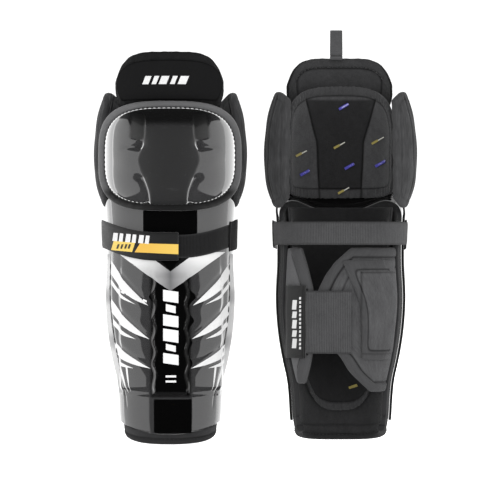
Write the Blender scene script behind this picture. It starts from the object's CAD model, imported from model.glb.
import math

import bpy
import numpy as np
from mathutils import Matrix, Vector


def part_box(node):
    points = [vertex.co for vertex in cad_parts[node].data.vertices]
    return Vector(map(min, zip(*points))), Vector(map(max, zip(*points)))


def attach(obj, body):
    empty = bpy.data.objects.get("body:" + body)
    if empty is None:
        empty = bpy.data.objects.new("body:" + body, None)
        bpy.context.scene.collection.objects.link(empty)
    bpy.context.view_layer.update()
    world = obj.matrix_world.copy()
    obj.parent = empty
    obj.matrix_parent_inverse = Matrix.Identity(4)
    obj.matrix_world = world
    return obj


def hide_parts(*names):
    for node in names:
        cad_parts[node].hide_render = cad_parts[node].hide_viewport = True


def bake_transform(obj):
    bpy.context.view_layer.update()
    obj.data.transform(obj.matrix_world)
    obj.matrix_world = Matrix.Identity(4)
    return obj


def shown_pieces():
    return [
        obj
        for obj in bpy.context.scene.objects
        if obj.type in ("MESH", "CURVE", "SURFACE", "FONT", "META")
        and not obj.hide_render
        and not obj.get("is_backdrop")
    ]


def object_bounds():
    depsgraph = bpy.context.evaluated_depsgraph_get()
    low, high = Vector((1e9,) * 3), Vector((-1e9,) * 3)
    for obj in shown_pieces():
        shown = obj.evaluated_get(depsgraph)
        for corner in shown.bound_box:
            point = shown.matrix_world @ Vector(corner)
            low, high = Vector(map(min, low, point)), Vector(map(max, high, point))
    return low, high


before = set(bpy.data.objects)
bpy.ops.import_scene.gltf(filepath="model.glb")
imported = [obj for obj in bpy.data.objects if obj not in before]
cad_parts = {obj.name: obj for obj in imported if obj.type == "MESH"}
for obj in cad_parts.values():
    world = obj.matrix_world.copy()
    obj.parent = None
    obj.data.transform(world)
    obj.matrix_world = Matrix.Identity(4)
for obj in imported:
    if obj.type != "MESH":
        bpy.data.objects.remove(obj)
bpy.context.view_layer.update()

mm = 0.001

# where things are, in mm round the left guard's leg axis, from the frame
capLow, capHigh = [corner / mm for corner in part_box("left_knee_cap")]
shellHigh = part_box("left_shin_shell")[1] / mm
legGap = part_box("right_knee_cap")[0].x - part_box("left_knee_cap")[0].x
capZ = (capLow.z + capHigh.z) / 2
capHalfWide = (capHigh.x - capLow.x) / 2
capHalfHigh = (capHigh.z - capLow.z) / 2
lipRise = 14  # from the front of the shell's upper edge to its highest point
lipZ = shellHigh.z - lipRise
capRound = 3.2  # 2 gives an oval cap, and more a squarer one


def sampled(table):
    # smooth curve through [height, size] stations, read back by read()
    z, value = np.array(table, float).T
    slopes = np.gradient(value, z)
    fine = np.linspace(z[0], z[-1], 400)
    i = np.clip(np.searchsorted(z, fine, side="right") - 1, 0, len(z) - 2)
    step = z[i + 1] - z[i]
    t = (fine - z[i]) / step
    return fine, (value[i] * (1 + 2 * t) * (1 - t) ** 2 + slopes[i] * step * t * (1 - t) ** 2
                  + value[i + 1] * t * t * (3 - 2 * t) - slopes[i + 1] * step * t * t * (1 - t))


# sections of the shell up the leg, and edges round it
halfWidth = sampled([[0, 46], [22, 50.5], [44, 52], [60, 53.5], [84, 58.5], [108, 62.5], [144, 65],
                     [180, 63.5], [215, 64], [250, 66.5]])
frontDepth = sampled([[0, 45], [42, 50], [92, 56], [142, 60], [180, 62], [222, 64.5], [250, 66]])
backDepth = sampled([[0, 42], [42, 44], [92, 52], [142, 56], [222, 56], [250, 54]])
kneeWidth = sampled([[240, 54], [265, 56.5], [290, 57], [315, 56.5], [335, 53], [357, 48]])
kneeDepth = sampled([[240, 54], [265, 58.5], [290, 60], [315, 55], [335, 46.5], [357, 41.5]])
lipLine = sampled([[0, 0], [22, 0.4], [50, 1], [75, 0.55], [98, -0.5]])
wingWidth = sampled([[230, 67], [260, 75], [290, 76.5], [324, 73.5], [348, 68]])
wideEdge = sampled([[52, 31], [72, 9], [90, -4], [105, -23], [153, -23], [167, -16], [180, -6],
                    [194, 10]])
narrowEdge = sampled([[58, -39], [90, -31], [105, -30], [153, -30], [172, -35], [194, -42]])
padEdge = sampled([[84, 20], [92, 20], [142, 17], [170, 5], [182, 0]])
wrapOut = -3  # the calf wraps' outer face, from the shell's


def read(table, z):
    return np.interp(z, *table)


def mix(a, b, t):
    return a + (b - a) * t


def ease(t):
    t = np.clip(t, 0, 1)
    return t * t * (3 - 2 * t)


def up(v):
    return (v + 1) / 2


def hat(x, centre, half, soft):
    return ease((half - np.abs(x - centre)) / soft + 0.5)


def dip(x, centre, half):
    return np.exp(-((x - centre) / half) ** 2)


def wall(a, z, t):
    # point a degrees round from the front, t outside the shell's face, in mm
    a, z, t = np.broadcast_arrays(np.asarray(a, float), z, t)
    depth = np.where(abs(a) <= 90, read(frontDepth, z), read(backDepth, z)) + t
    turn = np.radians(a)
    return np.stack([(read(halfWidth, z) + t) * np.sin(turn), -depth * np.cos(turn), z], -1)


def kneeWall(a, z, t):
    a, z, t = np.broadcast_arrays(np.asarray(a, float), z, t)
    turn = np.radians(a)
    across, depth = read(kneeWidth, z) + t, read(kneeDepth, z) + t
    return np.stack([across * np.sin(turn), -depth * np.cos(turn), z], -1)


def frontAngle(x, z):
    return np.degrees(np.arcsin(np.clip(x / read(halfWidth, z), -1, 1)))


def backAngle(x, z, t):
    return 180 - np.degrees(np.arcsin(np.clip(x / (read(halfWidth, z) + t), -1, 1)))


def lip(a):
    return lipZ + lipRise * read(lipLine, abs(a))


def roundOff(u, v, k):
    return u * np.sqrt(1 - k * v * v)


def capU(u, v):
    # square coordinates drawn in to the cap's outline
    far = (abs(u) ** capRound + abs(v) ** capRound) ** (1 / capRound)
    return u * np.maximum(abs(u), abs(v)) / np.maximum(far, 1e-6)


def crown(u, v):
    return (1 - u ** 4) * (1 - v ** 4)


# shaping, each step as by hand in edit mode or with a modifier

def only(*pieces):
    bpy.ops.object.select_all(action="DESELECT")
    for piece in pieces:
        piece.select_set(True)
    bpy.context.view_layer.objects.active = pieces[0]


def points(piece):
    co = np.empty(len(piece.data.vertices) * 3)
    piece.data.vertices.foreach_get("co", co)
    return co.reshape(-1, 3)


def normals(piece):
    out = np.empty(len(piece.data.vertices) * 3)
    piece.data.vertex_normals.foreach_get("vector", out)
    return out.reshape(-1, 3)


def frontView(piece):
    # how far sideways and how high each vertex is, in mm
    return points(piece)[:, ::2].T / mm


def place(piece, co):
    piece.data.vertices.foreach_set("co", np.asarray(co, float).ravel())
    piece.data.update()


def paint(piece, name, values):
    layer = piece.data.attributes.get(name) or piece.data.attributes.new(name, "FLOAT", "POINT")
    layer.data.foreach_set("value", np.broadcast_to(values, len(piece.data.vertices)).astype(np.float32))


def weave(piece, across, along, side):
    # position on the cloth in metres, kept on the mesh so that a weave follows the surface
    layer = piece.data.attributes.new("weave", "FLOAT_VECTOR", "POINT")
    layer.data.foreach_set("vector", np.stack([across, along, side], -1).astype(np.float32).ravel())


def onCloth(piece, size):
    # u, v from -1 to 1 and the side, 1 outside, of each vertex
    out = np.empty(len(piece.data.vertices) * 3)
    piece.data.attributes["weave"].data.foreach_get("vector", out)
    out = out.reshape(-1, 3)
    return out[:, 0] / (size[0] * mm / 2), out[:, 1] / (size[1] * mm / 2), out[:, 2]


def gridPiece(name, at, size, cells, side=1):
    # a grid wrapped on a surface; size is its cloth's width and height in mm
    bpy.ops.object.select_all(action="DESELECT")
    bpy.ops.mesh.primitive_grid_add(x_subdivisions=cells[0], y_subdivisions=cells[1], size=2)
    piece = bpy.context.object
    piece.name = piece.data.name = name
    u, v, flat = points(piece).T
    weave(piece, u * size[0] * mm / 2, v * size[1] * mm / 2, flat + side)
    place(piece, at(u, v) * mm)
    return piece


def solidPiece(name, at, size, cells):
    # outer and inner faces from at(u, v, side), joined round their edges
    outer = gridPiece(name, lambda u, v: at(u, v, 1), size, cells)
    inner = gridPiece(name + "Inner", lambda u, v: at(u, v, 0), size, cells, side=0)
    inner.data.flip_normals()
    only(outer, inner)
    bpy.ops.object.join()
    bpy.ops.object.mode_set(mode="EDIT")
    bpy.ops.mesh.select_all(action="DESELECT")
    bpy.ops.mesh.select_mode(type="EDGE")
    bpy.ops.mesh.select_non_manifold()
    bpy.ops.mesh.bridge_edge_loops()
    bpy.ops.object.mode_set(mode="OBJECT")
    return outer


def applied(piece, kind, **settings):
    only(piece)
    made = piece.modifiers.new(kind.title(), kind)
    for key, value in settings.items():
        setattr(made, key, value)
    bpy.ops.object.modifier_apply(modifier=made.name)
    return piece


def thicken(piece, thickness, even=True):
    return applied(piece, "SOLIDIFY", thickness=thickness * mm, offset=-1, use_even_offset=even)


def soften(piece, levels=1):
    return applied(piece, "SUBSURF", levels=levels, render_levels=levels)


def bevelRim(piece, width):
    return applied(piece, "BEVEL", width=width * mm, segments=2, limit_method="ANGLE",
                   angle_limit=math.radians(50))


def smoothShade(piece, angle=60):
    only(piece)
    bpy.ops.object.shade_smooth_by_angle(angle=math.radians(angle))
    return piece


def emboss(piece, relief):
    # each vertex moves along its normal by relief mm
    place(piece, points(piece) + normals(piece) * relief[:, None] * mm)


def sewn(piece, relief, trim=None, crease=None):
    # last step of a cloth piece: its relief in mm, its bound edges and its seams
    emboss(piece, relief)
    for name, mask in (("trim", trim), ("crease", crease)):
        if mask is not None:
            paint(piece, name, mask)
    return smoothShade(piece)


def weldAll(piece):
    only(piece)
    bpy.ops.object.mode_set(mode="EDIT")
    bpy.ops.mesh.select_all(action="SELECT")
    bpy.ops.mesh.remove_doubles(threshold=0.00001)
    bpy.ops.mesh.normals_make_consistent(inside=False)
    bpy.ops.object.mode_set(mode="OBJECT")


softCloth = {"quality": 6, "mass": 0.25, "tension_stiffness": 12, "compression_stiffness": 12,
             "shear_stiffness": 6, "bending_stiffness": 0.4}


def puff(piece, held, pressure, reach, steps=16):
    # cloth under pressure, sewn down where held is 1, moved at most reach mm
    pins = piece.vertex_groups.new(name="sewn")
    for i in np.flatnonzero(held > 0.02):
        pins.add([int(i)], float(held[i]), "REPLACE")
    before = points(piece)
    only(piece)
    cloth = piece.modifiers.new("Cloth", "CLOTH")
    for key, value in softCloth.items():
        setattr(cloth.settings, key, value)
    cloth.settings.use_pressure = True
    cloth.settings.uniform_pressure_force = pressure
    cloth.settings.vertex_group_mass = pins.name
    cloth.settings.effector_weights.gravity = 0
    cloth.point_cache.frame_start = 1
    cloth.point_cache.frame_end = steps
    for step in range(1, steps + 1):
        bpy.context.scene.frame_set(step)
    bpy.ops.object.modifier_apply(modifier="Cloth")
    bpy.context.scene.frame_set(1)
    moved = points(piece) - before
    far = np.linalg.norm(moved, axis=1, keepdims=True)
    place(piece, before + moved * np.minimum(1, reach * mm / np.maximum(far, 1e-9)))
    piece.vertex_groups.clear()


def edgeDistance(u, v, size, blend=3):
    # mm from the nearest edge of a patch, rounded off in the corners
    across = (1 - abs(u)) * size[0] / 2
    along = (1 - abs(v)) * size[1] / 2
    return -blend * np.log(np.exp(-across / blend) + np.exp(-along / blend))


def stitchRow(name, path, out, stitch):
    # stitches laid along path, points in mm, with their outward directions
    path, out = np.asarray(path, float), np.asarray(out, float)
    run = np.concatenate([[0], np.cumsum(np.linalg.norm(np.diff(path, axis=0), axis=1))])
    bpy.ops.object.select_all(action="DESELECT")
    bpy.ops.mesh.primitive_uv_sphere_add(segments=8, ring_count=5, radius=1)
    first = bpy.context.object
    first.name = first.data.name = name
    copies = []
    pitch = stitch["length"] + stitch["gap"]

    def along(values, distance):
        return np.array([np.interp(distance, run, values[:, i]) for i in range(3)])

    for k in range(int((run[-1] - stitch["length"]) / pitch) + 1):
        middle = k * pitch + stitch["length"] / 2
        spot = along(path, middle)
        face = Vector(along(out, middle)).normalized()
        ahead = Vector(along(path, middle + 0.5) - along(path, middle - 0.5)).normalized()
        over = face.cross(ahead).normalized()
        turn = Matrix((ahead, over, face)).transposed().to_4x4()
        stretch = Matrix.Diagonal((stitch["length"] / 2 * mm, stitch["thick"] / 2 * mm,
                                   stitch.get("high", stitch["thick"]) / 2 * mm, 1))
        copy = first.copy()
        copy.data = first.data.copy()
        bpy.context.collection.objects.link(copy)
        lift = face * stitch["lift"] * mm
        copy.data.transform(Matrix.Translation(Vector(spot * mm) + lift) @ turn @ stretch)
        copies.append(copy)
    bpy.data.objects.remove(first)
    row = joined(name, *copies)
    bpy.ops.object.shade_smooth()
    co = points(row)
    weave(row, co[:, 0], co[:, 2], co[:, 1])
    return row


def joined(name, *pieces):
    only(*pieces)
    bpy.ops.object.join()
    pieces[0].name = pieces[0].data.name = name
    return pieces[0]


def turnedCopy(piece, name, flip):
    # own copy of a piece, mirrored by flip, with its faces still pointing out
    copy = piece.copy()
    copy.data = piece.data.copy()
    copy.name = copy.data.name = name
    bpy.context.collection.objects.link(copy)
    copy.data.transform(flip)
    if flip.determinant() < 0:
        copy.data.flip_normals()
    return copy


toRight = Matrix.Translation((legGap, 0, 0)) @ Matrix.Diagonal((1, -1, 1, 1))
otherHand = Matrix.Diagonal((-1, 1, 1, 1))


def dress(piece, body, slotName, material, *nodes, fill=None):
    # finish and place in the frame
    piece.data.materials.clear()
    piece.data.materials.append(material)
    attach(piece, body)
    if nodes:
        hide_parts(*nodes)


def pair(piece, name, body, slotName, material, *nodes, fill=None):
    # the left guard's piece as built, and the right guard's turned to show its back
    right = turnedCopy(piece, "right_" + name, toRight)
    piece.name = piece.data.name = "left_" + name
    for side, one in (("left_", piece), ("right_", right)):
        dress(one, side + body, slotName, material, *[side + node for node in nodes], fill=fill)
    return piece, right


print("materials")


def plugIn(tree, node, inputs):
    # each input takes a value or another node's output
    for key, value in inputs.items():
        if isinstance(value, bpy.types.NodeSocket):
            tree.links.new(value, node.inputs[key])
        else:
            node.inputs[key].default_value = value


def addNode(tree, kind, inputs, **settings):
    made = tree.nodes.new(kind)
    for key, value in settings.items():
        setattr(made, key, value)
    plugIn(tree, made, inputs)
    return made


def maths(tree, operation, *values):
    return addNode(tree, "ShaderNodeMath", dict(enumerate(values)), operation=operation).outputs[0]


def added(tree, a, b):
    return maths(tree, "ADD", a, b)


def times(tree, a, b):
    return maths(tree, "MULTIPLY", a, b)


def mixed(tree, factor, a, b):
    # colour mix
    return addNode(tree, "ShaderNodeMix", {0: factor, 6: a, 7: b}, data_type="RGBA").outputs[2]


def noise(tree, place, scale, detail):
    inputs = {"Vector": place, "Scale": scale, "Detail": detail}
    return addNode(tree, "ShaderNodeTexNoise", inputs).outputs[0]


def ranged(tree, value, low, high, first, last):
    # value from low to high becomes first to last
    return addNode(tree, "ShaderNodeMapRange", dict(enumerate((value, low, high, first, last)))).outputs[0]


def newGroup(name, takes, gives):
    group = bpy.data.node_groups.new(name, "ShaderNodeTree")
    for label, kind, value in takes:
        socket = group.interface.new_socket(label, in_out="INPUT", socket_type=kind)
        if value is not None:
            socket.default_value = value
    for label in gives:
        group.interface.new_socket(label, in_out="OUTPUT", socket_type="NodeSocketFloat")
    inside = group.nodes.new("NodeGroupInput").outputs
    outside = group.nodes.new("NodeGroupOutput").inputs
    return group, inside, outside


def buildClothWeave():
    # threads, ribs, nap and mottling of a cloth
    group, take, give = newGroup("clothWeave", [
        ("Place", "NodeSocketVector", None), ("Threads", "NodeSocketFloat", 900.0),
        ("Rows", "NodeSocketFloat", 900.0), ("Rib", "NodeSocketFloat", 0.0),
        ("Nap", "NodeSocketFloat", 0.5), ("Streak", "NodeSocketFloat", 1.0)], ["Shade", "Height"])
    spot = addNode(group, "ShaderNodeSeparateXYZ", {0: take["Place"]}).outputs
    turn = 2 * math.pi
    warp = maths(group, "SINE", times(group, times(group, spot[0], take["Threads"]), turn))
    weft = maths(group, "SINE", times(group, times(group, spot[1], take["Rows"]), turn))
    plain = maths(group, "MULTIPLY_ADD", times(group, warp, weft), 0.5, 0.5)
    ribs = maths(group, "MULTIPLY_ADD", warp, 0.5, 0.5)
    threads = addNode(group, "ShaderNodeMix", {0: take["Rib"], 2: plain, 3: ribs},
                      data_type="FLOAT").outputs[0]
    stretch = addNode(group, "ShaderNodeCombineXYZ", {0: 1.0, 1: take["Streak"], 2: 1.0}).outputs[0]
    drawn = addNode(group, "ShaderNodeVectorMath", {0: take["Place"], 1: stretch},
                    operation="MULTIPLY").outputs[0]
    fuzz = noise(group, drawn, 700.0, 3.0)
    brushed = noise(group, drawn, 190.0, 2.0)
    blotch = noise(group, take["Place"], 45.0, 2.0)
    cloudy = added(group, times(group, brushed, 0.5), times(group, blotch, 0.5))
    worn = added(group, times(group, fuzz, 0.45), times(group, cloudy, 0.55))
    napped = times(group, maths(group, "SUBTRACT", worn, 0.5), times(group, take["Nap"], 3.0))
    smooth = maths(group, "SUBTRACT", 1.0, take["Nap"])
    woven = times(group, maths(group, "SUBTRACT", threads, 0.5), smooth)
    group.links.new(added(group, added(group, napped, woven), 0.5), give["Shade"])
    group.links.new(added(group, times(group, threads, 0.6), times(group, fuzz, 0.8)), give["Height"])
    return group


def buildMouldedFinish():
    # faint ripple, rubbed spots and hairline scratches of moulded plastic
    group, take, give = newGroup("mouldedFinish", [
        ("Place", "NodeSocketVector", None),
        ("Ripple", "NodeSocketFloat", 40.0)], ["Rub", "Height", "Scratch"])
    group.links.new(noise(group, take["Place"], 60.0, 4.0), give["Rub"])
    group.links.new(noise(group, take["Place"], take["Ripple"], 1.0), give["Height"])
    thin = addNode(group, "ShaderNodeMapping", {"Vector": take["Place"], "Rotation": (0.3, 0.5, 0.4),
                                                "Scale": (60.0, 1800.0, 260.0)}).outputs[0]
    scratch = ranged(group, noise(group, thin, 1.0, 2.0), 0.66, 0.72, 0.0, 1.0)
    group.links.new(scratch, give["Scratch"])
    return group


clothWeave = buildClothWeave()
mouldedFinish = buildMouldedFinish()


def newMaterial(name):
    material = bpy.data.materials.new(name)
    material.use_nodes = True
    tree = material.node_tree
    return material, tree, tree.nodes["Principled BSDF"]


def useGroup(tree, group, inputs):
    return addNode(tree, "ShaderNodeGroup", inputs, node_tree=group).outputs


def attribute(tree, name, vector=False):
    output = "Vector" if vector else "Fac"
    return addNode(tree, "ShaderNodeAttribute", {}, attribute_name=name).outputs[output]


def objectPlace(tree):
    return addNode(tree, "ShaderNodeTexCoord", {}).outputs["Object"]


def bumped(tree, strength, distance, height):
    inputs = {"Strength": strength, "Distance": distance, "Height": height}
    return addNode(tree, "ShaderNodeBump", inputs).outputs[0]


def grey(level, tint=(1, 1, 1.03)):
    return tuple(level * c for c in tint) + (1,)


# what a cloth has where its own entry says nothing else
plainCloth = {"threads": 800.0, "rows": 800.0, "rib": 0.0, "nap": 0.6, "streak": 1.0, "spread": 0.45,
              "seam": 0.2, "rough": 0.85, "shine": 0.0, "sheen": 0.08, "depth": 0.5}
plainPlastic = {"ripple": 25.0, "scratched": 0.08, "matte": 0.4, "wave": 0.25, "ior": 1.5, "coat": True}


def clothMaterial(name, **changes):
    # tone of the cloth, of its bound edges (trim) and of its seams (crease)
    finish = {**plainCloth, "trim": changes["tone"], **changes}
    material, tree, shader = newMaterial(name)
    out = useGroup(tree, clothWeave, {
        "Place": attribute(tree, "weave", vector=True), "Threads": finish["threads"],
        "Rows": finish["rows"], "Rib": finish["rib"], "Nap": finish["nap"], "Streak": finish["streak"]})
    tone, edge, spread = finish["tone"], finish["trim"], finish["spread"]
    base = mixed(tree, out["Shade"], grey(tone * (1 - spread)), grey(tone * (1 + spread)))
    edges = mixed(tree, out["Shade"], grey(edge * (1 - spread * 0.6)), grey(edge * (1 + spread * 0.6)))
    bound = mixed(tree, attribute(tree, "trim"), base, edges)
    plugIn(tree, shader, {
        "Base Color": mixed(tree, attribute(tree, "crease"), bound, grey(tone * finish["seam"])),
        "Roughness": finish["rough"], "Specular IOR Level": finish["shine"],
        "Sheen Weight": finish["sheen"], "Sheen Roughness": 0.45,
        "Normal": bumped(tree, finish["depth"], 0.0006, out["Height"])})
    return material


def plasticMaterial(name, **changes):
    # glossy moulding: tone raises its grey, dull its roughness
    finish = {**plainPlastic, **changes}
    material, tree, shader = newMaterial(name)
    where = objectPlace(tree)
    out = useGroup(tree, mouldedFinish, {"Place": where, "Ripple": finish["ripple"]})
    fresh = mixed(tree, attribute(tree, "tone"), grey(finish["tone"]), grey(finish["pale"]))
    rubbed = mixed(tree, times(tree, out["Scratch"], finish["scratched"]), fresh, grey(0.12))
    dull = attribute(tree, "dull")
    gloss = ranged(tree, out["Rub"], 0.3, 0.75, *finish["gloss"])
    grain = times(tree, times(tree, noise(tree, where, 1500.0, 2.0), dull), 0.12)
    height = added(tree, times(tree, out["Height"], finish["wave"]), grain)
    plugIn(tree, shader, {
        "Base Color": mixed(tree, attribute(tree, "crease"), rubbed, grey(0.002)),
        "Roughness": added(tree, gloss, times(tree, dull, finish["matte"])),
        "Normal": bumped(tree, 0.35, 0.001, height), "IOR": finish["ior"]})
    if finish["coat"]:
        plugIn(tree, shader, {"Coat Weight": maths(tree, "SUBTRACT", 1.0, dull), "Coat Roughness": 0.04})
    return material


def inkMaterial(name, colour, dark=None, rough=0.35, worn=0.15):
    # printed ink; the attribute tone runs it from colour to dark
    material, tree, shader = newMaterial(name)
    out = useGroup(tree, mouldedFinish, {"Place": objectPlace(tree), "Ripple": 300.0})
    base = mixed(tree, attribute(tree, "tone"), colour, dark or colour)
    thin = tuple(c * 0.72 for c in colour[:3]) + (1,)
    plugIn(tree, shader, {
        "Base Color": mixed(tree, times(tree, out["Rub"], worn), base, thin),
        "Roughness": ranged(tree, out["Rub"], 0.2, 0.8, rough - 0.08, rough + 0.1),
        "Normal": bumped(tree, 0.15, 0.0004, out["Height"])})
    return material


shellPlastic = plasticMaterial("shellPlastic", tone=0.003, pale=0.02, gloss=(0.06, 0.14), wave=0.2)
capPlastic = plasticMaterial("capPlastic", tone=0.004, pale=0.02, gloss=(0.06, 0.14), matte=0.42)
blackGloss = plasticMaterial("blackGloss", tone=0.001, pale=0.02, gloss=(0.05, 0.1), ior=1.18,
                             coat=False, scratched=0)
whiteInk = inkMaterial("whiteInk", (0.5, 0.5, 0.5, 1), (0.07, 0.07, 0.073, 1))
yellowInk = inkMaterial("yellowInk", (0.48, 0.34, 0.06, 1), (0.46, 0.26, 0.025, 1), rough=0.5)
darkInk = inkMaterial("darkInk", (0.02, 0.018, 0.012, 1), rough=0.5)
labelInk = inkMaterial("labelInk", (0.46, 0.46, 0.46, 1), rough=0.6, worn=0.3)
blueInk = inkMaterial("blueInk", (0.04, 0.036, 0.26, 1), (0.45, 0.43, 0.60, 1), rough=0.7)
oliveInk = inkMaterial("oliveInk", (0.20, 0.165, 0.04, 1), (0.42, 0.42, 0.38, 1), rough=0.7)
threadBlack = clothMaterial("threadBlack", tone=0.006, rough=0.45, shine=0.5, threads=1500.0)
threadGrey = clothMaterial("threadGrey", tone=0.02, rough=0.6, threads=1500.0)
rimCloth = clothMaterial("rimCloth", tone=0.062, trim=0.004, rough=0.5, shine=0.5, nap=0.35,
                         spread=0.2, threads=1400.0, rows=1400.0, depth=0.2)
flapCloth = clothMaterial("flapCloth", tone=0.0075, trim=0.006, nap=0.55, sheen=0.03, shine=0.1)
panelCloth = clothMaterial("panelCloth", tone=0.0065, nap=0.3, sheen=0.02, rough=0.7, spread=0.25,
                           threads=1300.0, rows=1300.0, depth=0.25)
flapBackCloth = clothMaterial("flapBackCloth", tone=0.026, trim=0.022)
wingCloth = clothMaterial("wingCloth", tone=0.031, nap=0.75, streak=0.12, spread=0.5)
linerCloth = clothMaterial("linerCloth", tone=0.038, trim=0.032, nap=0.65, seam=0.15)
carrierCloth = clothMaterial("carrierCloth", tone=0.022, trim=0.020, nap=0.65)
bindingCloth = clothMaterial("bindingCloth", tone=0.016, nap=0.4, rib=0.6, threads=500.0, depth=0.35)
stretchCloth = clothMaterial("stretchCloth", tone=0.004, nap=0.3, threads=900.0, rough=0.7)
frontElastic = clothMaterial("frontElastic", tone=0.009, trim=0.016, rib=1.0, threads=700.0, nap=0.35,
                             depth=0.7)
backElastic = clothMaterial("backElastic", tone=0.040, trim=0.028, rib=1.0, threads=620.0, nap=0.45,
                            depth=0.8, spread=0.4)
labelTape = clothMaterial("labelTape", tone=0.008, nap=0.2, threads=1500.0, rows=1500.0, rough=0.55,
                          shine=0.4, depth=0.2, spread=0.2)
hookTape = clothMaterial("hookTape", tone=0.01, nap=0.9, depth=1.0)
wrapCloth = clothMaterial("wrapCloth", tone=0.046, trim=0.037, nap=0.7, streak=0.3, spread=0.4)
knitLight = clothMaterial("knitLight", tone=0.075, trim=0.042, nap=0.4, threads=650.0, rows=520.0,
                          spread=0.35)
tabWebbing = clothMaterial("tabWebbing", tone=0.05, rib=0.5, nap=0.3, threads=1100.0, rows=420.0,
                           depth=0.9, spread=0.5)
foamCloth = clothMaterial("foamCloth", tone=0.02, nap=0.9)


print("shin shell")
shell = {"wall": 2.5, "reach": 98, "low": 10, "size": (216, 228), "cells": (168, 168), "middle": 1.5,
         "column": {"height": 3.4, "half": 15.5, "low": 48, "high": 172},
         "ribs": {"height": 1.9, "from": 20, "to": 50, "low": 52, "high": 178},
         "pockets": [(20.5, 145), (18.5, 121), (17.5, 99), (17, 78)]}
# groove lines between the ribs, [sideways, height]
slashes = [[(16, 134), (20.5, 138), (32, 149.5), (45, 164), (58, 181)],
           [(15, 102), (19.5, 105), (31, 114), (45, 127), (58, 143)],
           [(14, 73), (18.5, 76), (30, 82), (42, 90), (56, 102)]]


def shellAngle(u):
    return shell["reach"] * u


def seamAngle(z):
    # the stitched seams, in degrees round from the front
    return mix(57.5, 67, (z - 50) / 126)


def shellAt(u, v):
    a = shellAngle(u)
    foot = shell["low"] + 12 * ease(abs(a) / shell["reach"])
    return wall(a, mix(foot, lip(a), up(v)), 0)


def shellRelief(x, z):
    side = abs(x - shell["middle"])
    column = shell["column"]
    half = column["half"] + 1.2 * np.sin((z - 52) * 2 * np.pi / 23)
    raised = column["height"] * ease((half + 2 - side) / 4) * ease((z - column["low"]) / 5)
    raised = raised * ease((column["high"] - z) / 10)
    ribs = shell["ribs"]
    lobes = hat(side, (ribs["from"] + ribs["to"]) / 2, (ribs["to"] - ribs["from"]) / 2, 5)
    lobes = lobes * ease((z - ribs["low"]) / 6) * ease((ribs["high"] - z) / 12)
    for line in slashes:
        run = np.array(line)
        away = abs(z - np.interp(side, run[:, 0], run[:, 1])) * 0.75
        lobes = lobes * (1 - 0.85 * np.exp(-(away / 3.2) ** 2) * ease((side - 12) / 6))
    for across, height in shell["pockets"]:
        lobes = lobes * (1 - np.exp(-((side - across) / 5.5) ** 2 - ((z - height) / 6.5) ** 2))
    relief = np.maximum(raised, ribs["height"] * lobes)
    relief += 0.7 * ease((z - 47.5) / 2.2) * ease((50 - side) / 3) * ease((200 - z) / 20)
    relief += 0.5 * hat(side, 26, 1.2, 1.5) * ease((z - 206) / 4) * ease((240 - z) / 5)
    return relief


moulding = gridPiece("moulding", shellAt, shell["size"], shell["cells"])
u, v, side = onCloth(moulding, shell["size"])
x, z = frontView(moulding)
front = abs(shellAngle(u)) < 75
relief = np.where(front, shellRelief(x, z), 0)
seamChannel = dip(abs(shellAngle(u)), seamAngle(z), 1.6) * hat(z, 112, 76, 6)
emboss(moulding, relief - 0.5 * seamChannel)
side = abs(x - shell["middle"])
band = ease((48 - z) / 2) + ease((z - 206) / 3) * ease((side - 25) / 2)
paint(moulding, "tone", np.clip(band + ease((side - 18) / 3) * hat(z, 125, 78, 6), 0, 1))
edging = ease((abs(u) - 0.93) / 0.03)
paint(moulding, "crease", np.maximum(0.7 * seamChannel, edging))
paint(moulding, "dull", edging)
thicken(moulding, shell["wall"])
bevelRim(moulding, 0.7)
smoothShade(moulding)
pair(moulding, "shell_moulding", "shin", "shell_plastic", shellPlastic, "shin_shell")


# prints lie on the shell, each between two lines of [sideways, height]

def onShell(x, z, lift):
    a = frontAngle(x, z)
    base = wall(a, z, 0)
    out = wall(a, z, 1) - base
    out /= np.linalg.norm(out, axis=-1, keepdims=True)
    return base + out * (shellRelief(x, z) + lift)[..., None]


def alongLine(line, t):
    line = np.array(line, float)
    run = np.concatenate([[0], np.cumsum(np.linalg.norm(np.diff(line, axis=0), axis=1))])
    return np.stack([np.interp(t * run[-1], run, line[:, i]) for i in (0, 1)], -1)


printSize = (10, 10)  # any size does, because ink has no weave


def printBetween(first, second, cells, lift=0.22, tones=(0, 0), face=onShell):
    # the tone runs from one end of the lines to the other
    def at(u, v):
        a, b = alongLine(first, up(u)), alongLine(second, up(u))
        spot = mix(a, b, up(v)[:, None])
        return face(spot[:, 0], spot[:, 1], lift)
    piece = gridPiece("print", at, printSize, cells)
    paint(piece, "tone", mix(tones[0], tones[1], up(onCloth(piece, printSize)[0])))
    return piece


def curvedLine(line):
    # smooth line through a few points
    line = np.array(line, float)
    t = np.linspace(0, 1, len(line))
    fine = np.linspace(0, 1, 14)
    return np.stack([np.interp(fine, *sampled(np.stack([t, line[:, i]], -1))) for i in (0, 1)], -1)


def otherSide(line):
    return [(2 * shell["middle"] - x, z) for x, z in line]


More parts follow.
